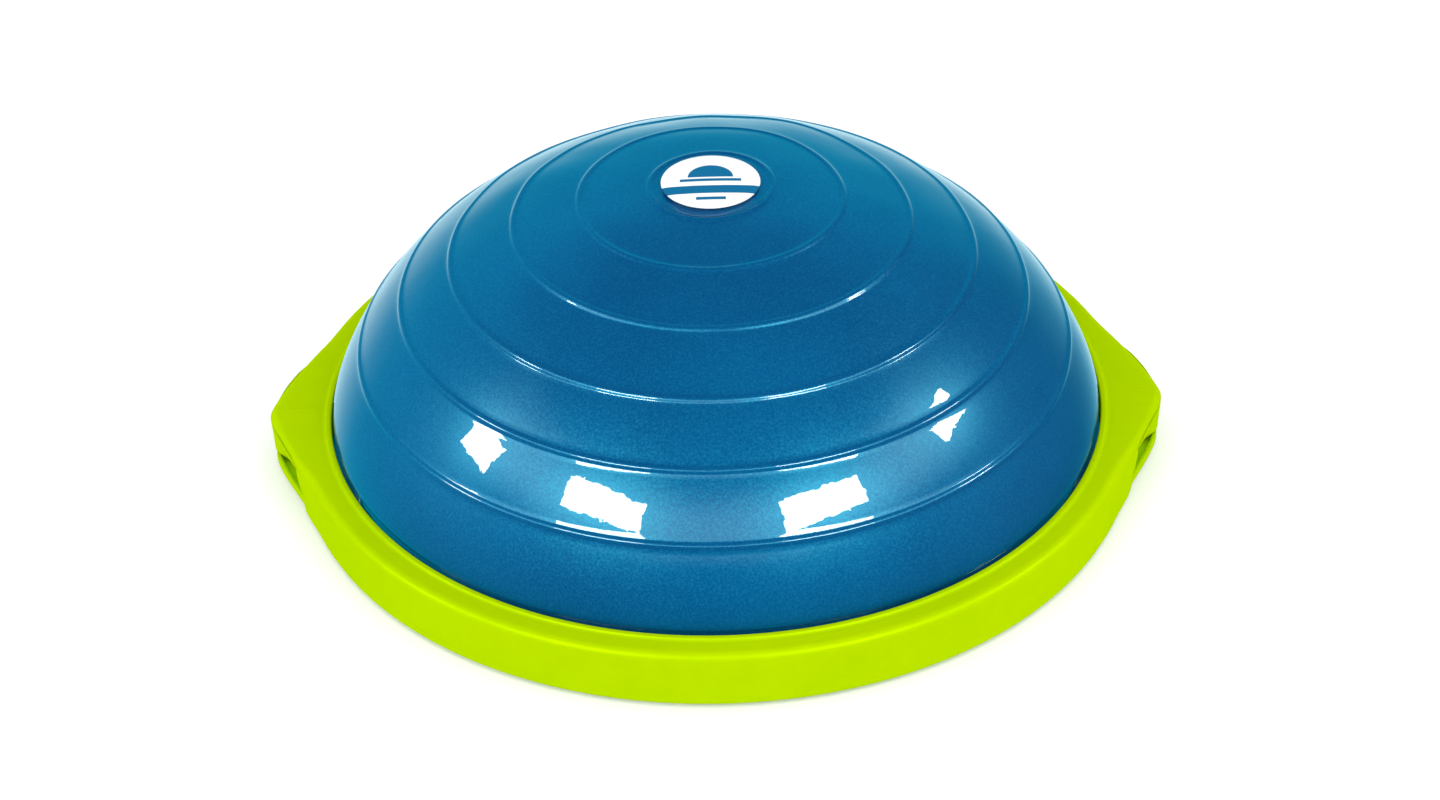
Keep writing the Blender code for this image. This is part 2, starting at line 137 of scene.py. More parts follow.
# Hand holds, each within an angle of the X axis. They stand out over a blend from the round rim.
HOLD_REACH = math.radians(26)
HOLD_BLEND = 0.012
HOLD_SEARCH_RADII = (0.15, 0.30)
HOLD_SEARCH_STEPS = 40
HOLD_COLUMN_ANGLE = math.radians(0.3)
HOLD_TIP_X = 0.2696
HOLD_TIP_ROUND = 0.0045
HOLD_FLANK_SLOPE = 0.262
HOLD_FLANK_CURVE = 2.14
HOLD_DRAFT = 0.0040
HOLD_TIP_DRAFT = 0.45
HOLD_DRAFT_REACH = 0.050
HOLD_FILLET = 0.0022
HOLD_TOP_FALL = 0.012
HOLD_TOP_FALL_Y = 0.07
HOLD_TOP_FALL_RADII = (0.236, 0.254)
HOLD_TOP_SINK = 0.0003
CREASE_HEIGHT = 0.00035
CREASE_HALF_WIDTH = 0.0005
CREASE_START = (0.238, 0.241)
CREASE_END = (0.260, 0.2635)
CREASE_ANGLE = math.radians(0.5)
CREASE_COLUMN_ANGLE = math.radians(0.07)
NOSE_HALF_WIDTH = 0.0005
NOSE_FADE_Y = 0.032
SLOT_FULL_Y = 0.040
SLOT_END_Y = 0.0655
SLOT_BACK_X = 0.2470
SLOT_TOP_Z = 0.0330
SLOT_BOTTOM_Z = 0.0056
SLOT_EDGE_ROUND = 0.0014
SLOT_CORNER = 0.004
SLOT_CEILING_POINTS = 6

# Base plate
DECK_RADIUS = 0.2465
DECK_TOP_Z = 0.005
SILL_TOP_Z = 0.0075
SILL_WALL = 0.0026
SILL_HALF_LENGTH = 0.0535
SILL_END_BLEND = 0.0012
SILL_ROUND = 0.0009
SILL_FOOT = 0.0006
SILL_FOOT_DEPTH = 0.0002
SILL_FOOT_RISE = 0.0004
DECK_EDGE_ROUND = 0.0011
DECK_EDGE_LAND = 0.003
SOLE_FLAT_RADII = (0.200, 0.236)
DECK_FLAT_RADII = (0.232, 0.12)
SEAT_GAP = 0.0003
WELL_RADIUS = 0.024
WELL_WALL = 0.003
WELL_EDGE = 0.0006
WELL_LAND = 0.004
GRIP_RING_RADII = (0.045, 0.065, 0.085, 0.105, 0.125, 0.145, 0.165, 0.185)
GRIP_RING_HEIGHT = 0.0006
GRIP_RING_HALF_WIDTH = 0.0022
GRIP_RING_POINTS = 7
HEAD_CLEARANCE = 0.0006
FOOT_CLEARANCE = 0.0004
SINK_TOP_Z = 0.0046
FOOT_SEAT_DEPTH = 0.001
CUT_REACH = 0.001

# Feet
FOOT_EDGE_ROUND = 0.0009
FOOT_TOP_EDGE = 0.0003
FOOT_GROOVES = (0.0095, 0.0060)
FOOT_GROOVE_DEPTH = 0.0006
FOOT_GROOVE_TOP = 0.0010
FOOT_GROOVE_FLOOR = 0.0006
FOOT_DIMPLE = ((0.0022, 0.0), (0.0016, 0.0005), (0.0, 0.0006))

# Screws
SHANK_RADIUS = 0.00135
THREAD_RADIUS = 0.0019
THREAD_PITCH = 0.0013
THREAD_START = 0.0026
SCREW_POINT = (0.0007, 0.0016)
HEAD_HEIGHT = 0.0024
HEAD_ROUND = 0.0014
HEAD_TOP_EDGE = (0.0002, 0.0003)
HEAD_MIDDLE = (0.0012, 0.00002)
CROSS_OUTSIDE = (0.0027, 0.00052, 0.0010)
CROSS_INSIDE = (0.0013, 0.00036, 0.0016)
SCREW_TURN = 1.9
WELD_DISTANCE = 0.000002

# Valve and plug
PART_GAP = 0.0003
VALVE_BORE = 0.0036
VALVE_EDGE = 0.0008
VALVE_NECK_EDGE = 0.001
VALVE_FLANGE_EDGE = 0.0004
VALVE_BORE_EDGE = 0.0006
VALVE_RING_RADII = (0.0142, 0.0128)
VALVE_RING_SIZE = 0.0004
PLUG_FLANGE_THICKNESS = 0.0022
PLUG_STEM_RADIUS = 0.0033
PLUG_TIP = (0.0012, 0.003)
PLUG_BARB_DEPTHS = (0.005, 0.0075, 0.010)
PLUG_BARB_SIZE = 0.0004
PLUG_BARB_FALLS = (0.0003, 0.0012, 0.0015)
PLUG_EDGE = 0.0009
PLUG_FLANGE_EDGE = 0.0003
PLUG_FLANGE_GROOVE = ((0.0078, 0.0), (0.0072, 0.0005), (0.0062, 0.0005), (0.0056, 0.0))
PULL_NECK = ((0.0038, -0.0002), (0.0034, -0.0010))
PULL_CENTRE_RADIUS = 0.0036
PULL_DIMPLE = ((0.0018, 0.0), (0.0012, 0.0005), (0.0, 0.0006))
PLUG_STEPS = 96

# Finish of the meshes
MERGE_DISTANCE = 1e-6
ON_AXIS = 1e-7


def add_mesh(name, points, faces, smooth_angle=40):
    """A mesh object, smooth but for edges sharper than the angle in degrees."""
    mesh = bpy.data.meshes.new(name)
    mesh.from_pydata(points, [], faces)
    bm = bmesh.new()
    bm.from_mesh(mesh)
    bmesh.ops.remove_doubles(bm, verts=bm.verts, dist=MERGE_DISTANCE)
    bmesh.ops.recalc_face_normals(bm, faces=bm.faces)
    bm.to_mesh(mesh)
    bm.free()
    mesh.shade_smooth()
    mesh.set_sharp_from_angle(angle=math.radians(smooth_angle))
    obj = bpy.data.objects.new(name, mesh)
    bpy.context.scene.collection.objects.link(obj)
    return obj


def finish_piece(obj, material, body, slot, *nodes):
    """Gives a piece its material, the body it rides on and the CAD nodes it stands for. The slot is not
    used.
    """
    obj.data.materials.clear()
    obj.data.materials.append(material)
    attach(obj, body)
    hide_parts(*nodes)
    return obj


def turned(name, profile, steps, closed=False, centre=(0.0, 0.0), smooth_angle=40):
    """A surface turned round Z from (radius, height) points. Points on the axis become one pole."""
    points, rings = [], []
    for r, z in profile:
        if r < ON_AXIS:
            rings.append([len(points)] * steps)
            points.append((centre[0], centre[1], z))
            continue
        rings.append(list(range(len(points), len(points) + steps)))
        for i in range(steps):
            angle = 2 * math.pi * i / steps
            points.append((centre[0] + r * math.cos(angle), centre[1] + r * math.sin(angle), z))
    pairs = list(zip(rings, rings[1:]))
    if closed:
        pairs.append((rings[-1], rings[0]))
    faces = []
    for upper, lower in pairs:
        for i in range(steps):
            j = (i + 1) % steps
            corners = []
            for index in (upper[i], lower[i], lower[j], upper[j]):
                if index not in corners:
                    corners.append(index)
            if len(corners) > 2:
                faces.append(corners)
    return add_mesh(name, points, faces, smooth_angle)


def arc(centre, radius, start, end, count):
    """Points (r, z) on an arc from start to end degrees, ends included."""
    points = []
    for i in range(count):
        angle = math.radians(start + (end - start) * i / (count - 1))
        points.append((centre[0] + radius * math.cos(angle), centre[1] + radius * math.sin(angle)))
    return points


def half_width(box):
    return (box[1].x - box[0].x) / 2


def smoothstep(low, high, value):
    share = min(max((value - low) / (high - low), 0.0), 1.0)
    return share * share * (3 - 2 * share)


def cut(obj, cutter):
    """Cuts one mesh from another and keeps the result as a plain mesh."""
    modifier = obj.modifiers.new("Cut", "BOOLEAN")
    modifier.operation = "DIFFERENCE"
    modifier.solver = "EXACT"
    modifier.object = cutter
    graph = bpy.context.evaluated_depsgraph_get()
    mesh = bpy.data.meshes.new_from_object(obj.evaluated_get(graph))
    obj.modifiers.clear()
    old = obj.data
    obj.data = mesh
    bpy.data.meshes.remove(old)
    bpy.data.objects.remove(cutter)


def weld(mesh, distance):
    """Joins points closer than a distance and takes out the faces that this leaves without area."""
    bm = bmesh.new()
    bm.from_mesh(mesh)
    bmesh.ops.remove_doubles(bm, verts=bm.verts, dist=distance)
    bmesh.ops.dissolve_degenerate(bm, dist=distance, edges=bm.edges)
    bm.to_mesh(mesh)
    bm.free()


# ---------------------------------------------------------------- materials


class Shader:
    """A short way to build a material's nodes."""

    def __init__(self, name):
        self.material = bpy.data.materials.new(name)
        self.material.use_nodes = True
        self.tree = self.material.node_tree
        self.bsdf = self.tree.nodes["Principled BSDF"]
        self.place = self.node("ShaderNodeTexCoord").outputs["Object"]

    def node(self, kind, **settings):
        node = self.tree.nodes.new(kind)
        for key, value in settings.items():
            setattr(node, key, value)
        return node

    def put(self, socket, value):
        """A link where the value is an output, a number or colour where it isn't."""
        if isinstance(value, bpy.types.NodeSocket):
            self.tree.links.new(value, socket)
        else:
            socket.default_value = value

    def set(self, **values):
        for key, value in values.items():
            self.put(self.bsdf.inputs[key.replace("_", " ")], value)

    def math(self, operation, a, b=0.0, c=0.0):
        node = self.node("ShaderNodeMath", operation=operation)
        for socket, value in zip(node.inputs, (a, b, c)):
            self.put(socket, value)
        return node.outputs[0]

    def noise(self, scale, detail=2.0, roughness=0.5):
        node = self.node("ShaderNodeTexNoise")
        self.put(node.inputs["Vector"], self.place)
        node.inputs["Scale"].default_value = scale
        node.inputs["Detail"].default_value = detail
        node.inputs["Roughness"].default_value = roughness
        return node.outputs["Fac"]

    def between(self, value, low, high, new_low, new_high):
        node = self.node("ShaderNodeMapRange")
        for socket, number in zip(node.inputs[:5], (value, low, high, new_low, new_high)):
            self.put(socket, number)
        return node.outputs[0]

    def mix(self, factor, a, b):
        node = self.node("ShaderNodeMix", data_type="RGBA")
        self.put(node.inputs["Factor"], factor)
        self.put(node.inputs[6], a)
        self.put(node.inputs[7], b)
        return node.outputs[2]

    def bump(self, height, distance):
        node = self.node("ShaderNodeBump")
        node.inputs["Distance"].default_value = distance
        node.inputs["Strength"].default_value = 1.0
        self.put(node.inputs["Height"], height)
        return node.outputs["Normal"]

    def axes(self):
        node = self.node("ShaderNodeSeparateXYZ")
        self.put(node.inputs[0], self.place)
        return node.outputs


def dome_material():
    """Glossy PVC with a pearl fleck under the gloss and a slow change of shade."""
    s = Shader("dome_pvc")
    cloud = s.noise(9.0, 3.0, 0.55)
    fleck = s.noise(800.0, 2.0, 0.6)
    deep = (0.0, 0.063, 0.200, 1.0)
    light = (0.0, 0.080, 0.232, 1.0)
    base = s.mix(s.between(cloud, 0.35, 0.65, 0.0, 1.0), deep, light)
    pearl = s.between(fleck, 0.50, 0.72, 0.0, 0.30)
    pearl_blue = (0.0, 0.16, 0.36, 1.0)
    colour = s.mix(pearl, base, pearl_blue)
    grain = s.bump(s.noise(1400.0, 2.0), 0.00004)
    skin = s.bump(s.noise(45.0, 3.0), 0.0002)
    s.set(Base_Color=colour, Roughness=s.between(fleck, 0.3, 0.7, 0.30, 0.40))
    s.set(Specular_IOR_Level=s.between(fleck, 0.35, 0.65, 0.45, 1.0))
    s.bsdf.inputs["Specular Tint"].default_value = (0.07, 0.82, 1.0, 1.0)
    s.bsdf.inputs["Coat Weight"].default_value = 1.0
    s.bsdf.inputs["Coat Roughness"].default_value = 0.012
    s.bsdf.inputs["Coat IOR"].default_value = 1.5
    s.set(Normal=grain)
    s.put(s.bsdf.inputs["Coat Normal"], skin)
    return s.material


def lime_material(name, grain_scale, grain_depth, low_roughness, high_roughness):
    """Moulded polypropylene: even lime, with slow shade changes, fine grain and faint flow marks."""
    s = Shader(name)
    slow = s.noise(14.0, 3.0, 0.6)
    fine = s.noise(grain_scale, 3.0, 0.6)
    flow = s.noise(60.0, 4.0, 0.65)
    deep = (0.420, 0.640, 0.0, 1.0)
    light = (0.453, 0.674, 0.0, 1.0)
    flow_mark = (0.478, 0.704, 0.0, 1.0)
    shade = s.mix(s.between(slow, 0.3, 0.7, 0.0, 1.0), deep, light)
    colour = s.mix(s.between(flow, 0.45, 0.75, 0.0, 0.35), shade, flow_mark)
    s.set(Base_Color=colour, Roughness=s.between(fine, 0.3, 0.7, low_roughness, high_roughness))
    s.set(Normal=s.bump(fine, grain_depth))
    s.bsdf.inputs["Subsurface Weight"].default_value = 0.12
    s.bsdf.inputs["Subsurface Radius"].default_value = (0.004, 0.006, 0.0005)
    s.bsdf.inputs["Subsurface Scale"].default_value = 1.0
    s.bsdf.inputs["Specular IOR Level"].default_value = 0.0
    s.bsdf.inputs["Metallic"].default_value = 0.1
    s.bsdf.inputs["Specular Tint"].default_value = (1.0, 1.0, 0.1, 1.0)
    return s.material


def rubber_material(name, dark, light):
    """Matt rubber with a fine grain, lighter where dust lies."""
    s = Shader(name)
    dust = s.noise(240.0, 4.0, 0.65)
    fine = s.noise(1500.0, 2.0)
    s.set(Base_Color=s.mix(s.between(dust, 0.45, 0.8, 0.0, 1.0), dark, light))
    s.set(Roughness=s.between(dust, 0.3, 0.7, 0.55, 0.8), Normal=s.bump(fine, 0.00006))
    return s.material


def plug_material():
    """Off-white plastic with a slow change of shade."""
    s = Shader("plug_plastic")
    slow = s.noise(90.0, 3.0)
    s.set(Base_Color=s.mix(slow, (0.70, 0.70, 0.67, 1.0), (0.84, 0.84, 0.81, 1.0)))
    s.set(Roughness=s.between(slow, 0.3, 0.7, 0.34, 0.5), Normal=s.bump(s.noise(1100.0), 0.00003))
    return s.material


def steel_material():
    """Plated steel with duller spots."""
    s = Shader("screw_steel")
    spots = s.noise(420.0, 4.0, 0.7)
    dull = (0.42, 0.43, 0.45, 1.0)
    bright = (0.66, 0.66, 0.68, 1.0)
    s.set(Base_Color=s.mix(s.between(spots, 0.35, 0.7, 0.0, 1.0), dull, bright))
    s.set(Roughness=s.between(spots, 0.3, 0.7, 0.24, 0.46), Normal=s.bump(s.noise(2600.0), 0.00002))
    s.bsdf.inputs["Metallic"].default_value = 1.0
    return s.material


def label_material(radius):
    """White printed film: a blue band across it, a small dome sign above and a short bar below. The
    sign's measures are shares of the label's radius."""
    s = Shader("label_print")
    x, y, _ = s.axes()
    x = s.math("DIVIDE", x, radius)
    y = s.math("DIVIDE", y, radius)

    def bar(centre, half_height, half_width):
        high = s.math("COMPARE", y, centre, half_height)
        return s.math("MULTIPLY", high, s.math("LESS_THAN", s.math("ABSOLUTE", x), half_width))

    sign_foot, sign_radius = 0.10, 0.46
    lifted = s.math("SUBTRACT", y, sign_foot)
    squares = s.math("ADD", s.math("MULTIPLY", x, x), s.math("MULTIPLY", lifted, lifted))
    disc = s.math("LESS_THAN", s.math("SQRT", squares), sign_radius)
    mask = s.math("MULTIPLY", disc, s.math("GREATER_THAN", lifted, 0.0))
    ground = bar(sign_foot - 0.11, 0.05, 0.62)
    band = bar(-0.36, 0.14, 2.0)
    short_bar = bar(-0.68, 0.05, 0.30)
    for shape in (ground, band, short_bar):
        mask = s.math("MAXIMUM", mask, shape)
    paper = s.mix(s.noise(160.0, 3.0), (0.92, 0.92, 0.92, 1.0), (0.98, 0.98, 0.98, 1.0))
    ink = s.mix(s.noise(500.0, 2.0), (0.0, 0.12, 0.28, 1.0), (0.0, 0.16, 0.34, 1.0))
    s.set(Base_Color=s.mix(mask, paper, ink), Roughness=s.between(s.noise(300.0), 0.3, 0.7, 0.34, 0.5))
    s.set(Normal=s.bump(mask, 0.00002))
    s.bsdf.inputs["Specular IOR Level"].default_value = 0.2
    return s.material


# ---------------------------------------------------------------- dome


def dome_point(turn):
    """(r, z) on the dome's plain section. Turn runs from 0 at the crown to a right angle at the rim."""
    r = DOME_RADIUS * math.sin(turn) ** (2 / DOME_POWER_R)
    z = DOME_SPRING_Z + (DOME_TOP_Z - DOME_SPRING_Z) * max(math.cos(turn), 0.0) ** (2 / DOME_POWER_Z)
    return r, z


def dome_normal(turn):
    """The section's outward direction (r, z)."""
    ahead = dome_point(min(turn + TURN_STEP, math.pi / 2))
    behind = dome_point(max(turn - TURN_STEP, 0.0))
    across, down = ahead[0] - behind[0], ahead[1] - behind[1]
    length = math.hypot(across, down)
    return -down / length, across / length


def turn_at_radius(radius):
    return math.asin((radius / DOME_RADIUS) ** (DOME_POWER_R / 2))


def section_length_table():
    """(distance along the section, turn) at close steps, so that points can be spread evenly."""
    table, distance, last = [(0.0, 0.0)], 0.0, dome_point(0.0)
    for i in range(1, LENGTH_STEPS + 1):
        turn = math.pi / 2 * i / LENGTH_STEPS
        here = dome_point(turn)
        distance += math.hypot(here[0] - last[0], here[1] - last[1])
        table.append((distance, turn))
        last = here
    return table


def turn_at_distance(table, distance):
    low, high = 0, len(table) - 1
    while high - low > 1:
        middle = (low + high) // 2
        low, high = (middle, high) if table[middle][0] < distance else (low, middle)
    (a, turn_a), (b, turn_b) = table[low], table[high]
    return turn_a + (turn_b - turn_a) * (distance - a) / (b - a)


def distance_at_turn(table, turn):
    share = turn / (math.pi / 2) * (len(table) - 1)
    index = min(int(share), len(table) - 2)
    (a, _), (b, _) = table[index], table[index + 1]
    return a + (b - a) * (share - index)


def dome_section():
    """(r, z, outward direction) from the crown to the spring line, close together on each raised ring."""
    table = section_length_table()
    end = table[-1][0]
    ribs = [distance_at_turn(table, turn_at_radius(radius)) for radius in RIB_RADII]
    stations, place = [], 0.0
    edges = [(rib - RIB_HALF_WIDTH, rib + RIB_HALF_WIDTH) for rib in ribs] + [(end, end)]
    for start, stop in edges:
        count = max(2, round((start - place) / PLAIN_STEP))
        stations += [place + (start - place) * i / count for i in range(count)]
        if stop > start:
            stations += [start + (stop - start) * i / RIB_SAMPLES for i in range(RIB_SAMPLES)]
        place = stop
    stations.append(end)
    section = []
    for distance in stations:
        turn = turn_at_distance(table, distance)
        r, z = dome_point(turn)
        rise = 0.0
        for rib in ribs:
            offset = abs(distance - rib) / RIB_HALF_WIDTH
            if offset < 1:
                rise += RIB_HEIGHT * (0.5 + 0.5 * math.cos(math.pi * offset)) ** RIB_ROUNDNESS
        normal = dome_normal(turn) if turn > TURN_STEP else (0.0, 1.0)
        tuck = TUCK_DEPTH * smoothstep(DOME_SPRING_Z + TUCK_HEIGHT, DOME_SPRING_Z, z)
        section.append((max(r + rise * normal[0] - tuck, 0.0), z + rise * normal[1], normal))
    return section


def make_dome(material):
    """The dome's skin: outer surface, and an inner one that closes it."""
    section = dome_section()
    profile = [(r, z) for r, z, _ in section]
    inner = []
    for r, z, normal in section[::INNER_POINT_STEP]:
        inner.append((max(r - BLADDER_WALL * normal[0], 0.0), z - BLADDER_WALL * normal[1]))
    inner = [(r, z) for r, z in inner if z > DOME_SPRING_Z]
    inner[0] = (0.0, inner[0][1])
    profile += [(profile[-1][0] - BLADDER_WALL, DOME_SPRING_Z)] + inner[::-1]
    dome = turned("dome_skin", profile, DOME_STEPS)
    middle = Vector((0.0, 0.0, DOME_SPRING_Z))
    for vert in dome.data.vertices:
        height = vert.co.z - DOME_SPRING_Z
        if height < UNDULATION_START:
            continue
        wave = noise.noise(vert.co * UNDULATION_SCALE)
        wave += FINE_WAVE_SHARE * noise.noise(vert.co * UNDULATION_SCALE * FINE_WAVE_SCALE)
        fade = smoothstep(UNDULATION_START, 5 * UNDULATION_START, height)
        fade += CROWN_UNDULATION * smoothstep(*CROWN_HEIGHTS, height)
        outward = (vert.co - middle).normalized()
        vert.co -= outward * (UNDULATION * (1 + wave) * fade)
    finish_piece(dome, material, "platform", "dome_pvc", "dome_bladder")
    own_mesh(dome)


def make_bladder_floor(material):
    """The bladder's bead, which the platform clamps, and its flat floor with the valve hole."""
    bead_top = FLOOR_Z + BEAD_HEIGHT
    floor_top = FLOOR_Z + FLOOR_THICKNESS
    neck = DOME_RADIUS - TUCK_DEPTH
    profile = [(neck, DOME_SPRING_Z), (neck, bead_top + BEAD_SHOULDER), (DOME_RADIUS, bead_top)]
    top_centre = (BEAD_RADIUS - BEAD_TOP_ROUND, bead_top - BEAD_TOP_ROUND)
    foot_centre = (BEAD_RADIUS - BEAD_FOOT_ROUND, FLOOR_Z + BEAD_FOOT_ROUND)
    profile += arc(top_centre, BEAD_TOP_ROUND, 90, 0, 5)
    profile += arc(foot_centre, BEAD_FOOT_ROUND, 0, -90, 4)
    profile += [(VALVE_HOLE_RADIUS, FLOOR_Z), (VALVE_HOLE_RADIUS, bead_top)]
    profile += [(VALVE_BOSS_RADIUS, bead_top), (VALVE_BOSS_FOOT, floor_top)]
    profile += [(neck - BLADDER_WALL, floor_top), (neck - BLADDER_WALL, DOME_SPRING_Z)]
    floor = turned("dome_bead_and_floor", profile, DOME_STEPS, closed=True, smooth_angle=30)
    finish_piece(floor, material, "platform", "dome_pvc", "dome_bladder")


def make_label(material):
    """A thin disc that follows the crown, with a rounded edge."""
    edge_turn = turn_at_radius(LABEL[1].x)
    profile = []
    for i in range(LABEL_RINGS + 1):
        r, z = dome_point(edge_turn * i / LABEL_RINGS)
        inset = LABEL_EDGE_DROP * smoothstep(LABEL_RINGS - 2, LABEL_RINGS, i)
        profile.append((r, LABEL[1].z - (DOME_TOP_Z - z) - inset))
    rim_r, rim_z = profile[-1]
    bottom_z = rim_z - LABEL_THICKNESS
    edge_r = rim_r + LABEL_EDGE_OUT
    profile += [(edge_r, rim_z - LABEL_EDGE_TOP), (edge_r, bottom_z + LABEL_EDGE_FOOT)]
    profile += [(rim_r, bottom_z + LABEL_SEAT), (0.0, LABEL[0].z + LABEL_MIDDLE_SEAT)]
    label = turned("crown_label", profile, LABEL_STEPS)
    finish_piece(label, material, "crown", "label", "dome_label")


# ---------------------------------------------------------------- platform


def hold_drop(y):
    """How far the hand hold's outline has fallen back from its tip at a distance y from the middle."""
    tip = math.sqrt(y * y + HOLD_TIP_ROUND**2) - HOLD_TIP_ROUND
    return HOLD_FLANK_SLOPE * tip + HOLD_FLANK_CURVE * y * y


def hold_draft(y):
    """How far the hold's foot stands back from its top edge: least at the tip."""
    return HOLD_DRAFT * (HOLD_TIP_DRAFT + (1 - HOLD_TIP_DRAFT) * smoothstep(0.0, HOLD_DRAFT_REACH, y))


def hold_radius(angle, foot=False):
    """Distance from the middle of the platform to the hand hold's top edge or foot, at an angle from X."""
    low, high = HOLD_SEARCH_RADII
    for _ in range(HOLD_SEARCH_STEPS):
        middle = (low + high) / 2
        x, y = middle * math.cos(angle), abs(middle * math.sin(angle))
        back = hold_draft(y) if foot else 0.0
        if x < HOLD_TIP_X - back - hold_drop(y):
            low = middle
        else:
            high = middle
    return low


def from_hold(angle):
    """The smaller angle to the nearer hand hold."""
    wrapped = (angle + math.pi / 2) % math.pi - math.pi / 2
    return abs(wrapped)


def outline(angle):
    """The platform's outer radius at an angle: the round rim, or the hand hold where it stands out."""
    ring = RIM_RADIUS
    near = from_hold(angle)
    if near > HOLD_REACH:
        return ring
    hold = hold_radius(near)
    gap = hold - ring
    return ring + 0.5 * (gap + math.sqrt(gap * gap + HOLD_FILLET * HOLD_FILLET))


def column_angles():
    """Angles round the platform: close together on the hand holds, closest at their creases."""
    angles = []
    for side in (0.0, math.pi):
        steps = [0.0]
        while steps[-1] < HOLD_REACH:
            near = steps[-1]
            step = CREASE_COLUMN_ANGLE if near < CREASE_ANGLE else HOLD_COLUMN_ANGLE
            steps.append(near + step)
        for near in steps:
            angles.append(side + near)
            if near:
                angles.append(side - near)
    last = max(a for a in angles if a < math.pi / 2)
    count = round((math.pi - 2 * last) / PLAIN_COLUMN_ANGLE)
    for base in (0.0, math.pi):
        for i in range(1, count):
            angles.append(base + last + (math.pi - 2 * last) * i / count)
    return sorted(a % (2 * math.pi) for a in angles)


def slot_share(angle, radius):
    """1 inside a finger slot, 0 away from it and on the hold's nose, and a soft scoop between."""
    near = from_hold(angle)
    if near > HOLD_REACH:
        return 0.0
    y = radius * math.sin(near)
    return smoothstep(NOSE_HALF_WIDTH, NOSE_FADE_Y, y) * (1.0 - smoothstep(SLOT_FULL_Y, SLOT_END_Y, y))


def cover_top(angle, edge, y, standing_out):
    """(radius, height) over the lip and the flat top, as far as the shoulder."""
    near = from_hold(angle)
    top = RIM_TOP_Z - HOLD_TOP_SINK * standing_out
    inner_centre = (LIP_INNER + LIP_INNER_ROUND, LIP_TOP_Z - LIP_INNER_ROUND)
    outer_centre = (LIP_INNER + LIP_CREST, LIP_TOP_Z - LIP_OUTER_ROUND)
    points = [(LIP_INNER, COLLAR_BOTTOM_Z), (LIP_INNER, LIP_TOP_Z - LIP_INNER_ROUND)]
    points += arc(inner_centre, LIP_INNER_ROUND, 165, 90, 6)
    points += arc(outer_centre, LIP_OUTER_ROUND, 90, 20, 5)
    points += [(LIP_INNER + along, top + rise) for along, rise in (LIP_FOOT, LIP_GROOVE)]
    flat_end = edge - SHOULDER - SHOULDER_LEAD
    flat_start = LIP_INNER + LIP_REACH
    for i in range(TOP_POINTS):
        share = i / (TOP_POINTS - 1)
        r = flat_start + (flat_end - flat_start) * share
        rise = smoothstep(*HOLD_TOP_FALL_RADII, r) * standing_out
        fall = HOLD_TOP_FALL * min(y, HOLD_TOP_FALL_Y) * rise
        crease = 0.0
        if near <= HOLD_REACH:
            crease = CREASE_HEIGHT * math.exp(-((r * math.sin(near) / CREASE_HALF_WIDTH) ** 2))
            crease *= smoothstep(*CREASE_START, r) * smoothstep(*reversed(CREASE_END), r)
        points.append((r, top - fall + crease))
    return points


def plain_wall(edge, bottom_edge, wall_top, foot_z):
    """(radius, height) down the outer wall, from the shoulder to the rounded bottom edge."""
    wall = []
    for i in range(WALL_POINTS):
        z = wall_top + (foot_z + BOTTOM_ROUND - wall_top) * i / (WALL_POINTS - 1)
        r = edge + (bottom_edge - edge) * (wall_top - z) / (wall_top - COVER_BOTTOM_Z)
        wall.append((r, z))
    bottom_centre = (wall[-1][0] - BOTTOM_ROUND, foot_z + BOTTOM_ROUND)
    return wall + arc(bottom_centre, BOTTOM_ROUND, -15, -90, 5)


def slot_pocket(edge, back, count):
    """(radius, height) into a finger slot: a rounded upper edge, a ceiling, a corner and the back wall."""
    ceiling_start = edge - SLOT_EDGE_ROUND
    ceiling_end = back + SLOT_CORNER
    corner_z = SLOT_TOP_Z - SLOT_CORNER
    pocket = arc((ceiling_start, SLOT_TOP_Z + SLOT_EDGE_ROUND), SLOT_EDGE_ROUND, 0, -90, 6)
    for i in range(1, SLOT_CEILING_POINTS + 1):
        share = i / (SLOT_CEILING_POINTS + 1)
        pocket.append((ceiling_start + (ceiling_end - ceiling_start) * share, SLOT_TOP_Z))
    pocket += arc((ceiling_end, corner_z), SLOT_CORNER, 90, 180, 6)
    remaining = count - len(pocket)
    for i in range(1, remaining + 1):
        pocket.append((back, corner_z + (SLOT_BOTTOM_Z - corner_z) * i / remaining))
    return pocket


def cover_section(angle):
    """(radius, height) round the rim cover's section at an angle, as one closed loop."""
    edge = outline(angle)
    near = from_hold(angle)
    on_hold = near < HOLD_REACH
    standing_out = smoothstep(0.0, HOLD_BLEND, edge - RIM_RADIUS)
    y = edge * math.sin(near) if on_hold else edge
    points = cover_top(angle, edge, y, standing_out)
    shoulder = arc((edge - SHOULDER, points[-1][1] - SHOULDER), SHOULDER, 86, 0, 9)
    points += shoulder
    over_sill = y <= SILL_HALF_LENGTH + SEAT_GAP
    foot_z = SILL_TOP_Z + SEAT_GAP if over_sill else COVER_BOTTOM_Z
    bottom_edge = edge - hold_draft(y) * standing_out
    back = min(SLOT_BACK_X / math.cos(near), edge) if on_hold else edge
    wall = plain_wall(edge, bottom_edge, shoulder[-1][1], foot_z)
    pocket = slot_pocket(edge, back, len(wall))
    share = slot_share(angle, edge)
    for (wall_r, wall_z), (slot_r, slot_z) in zip(wall, pocket):
        r = wall_r + (slot_r - wall_r) * share
        z = wall_z + (slot_z - wall_z) * share
        if r > bottom_edge - SILL_WALL - SEAT_GAP:
            z = max(z, foot_z)
        points.append((r, z))
    last_r, last_z = points[-1]
    inside = last_r - COVER_WALL + BOTTOM_ROUND * (1 - share)
    if not over_sill:
        inside = min(inside, RIM_RADIUS - COVER_WALL)
    under = RIM_TOP_Z - COVER_WALL
    points += [(inside, last_z), (inside, under), (COLLAR_OUTER, under), (COLLAR_OUTER, COLLAR_BOTTOM_Z)]
    return points


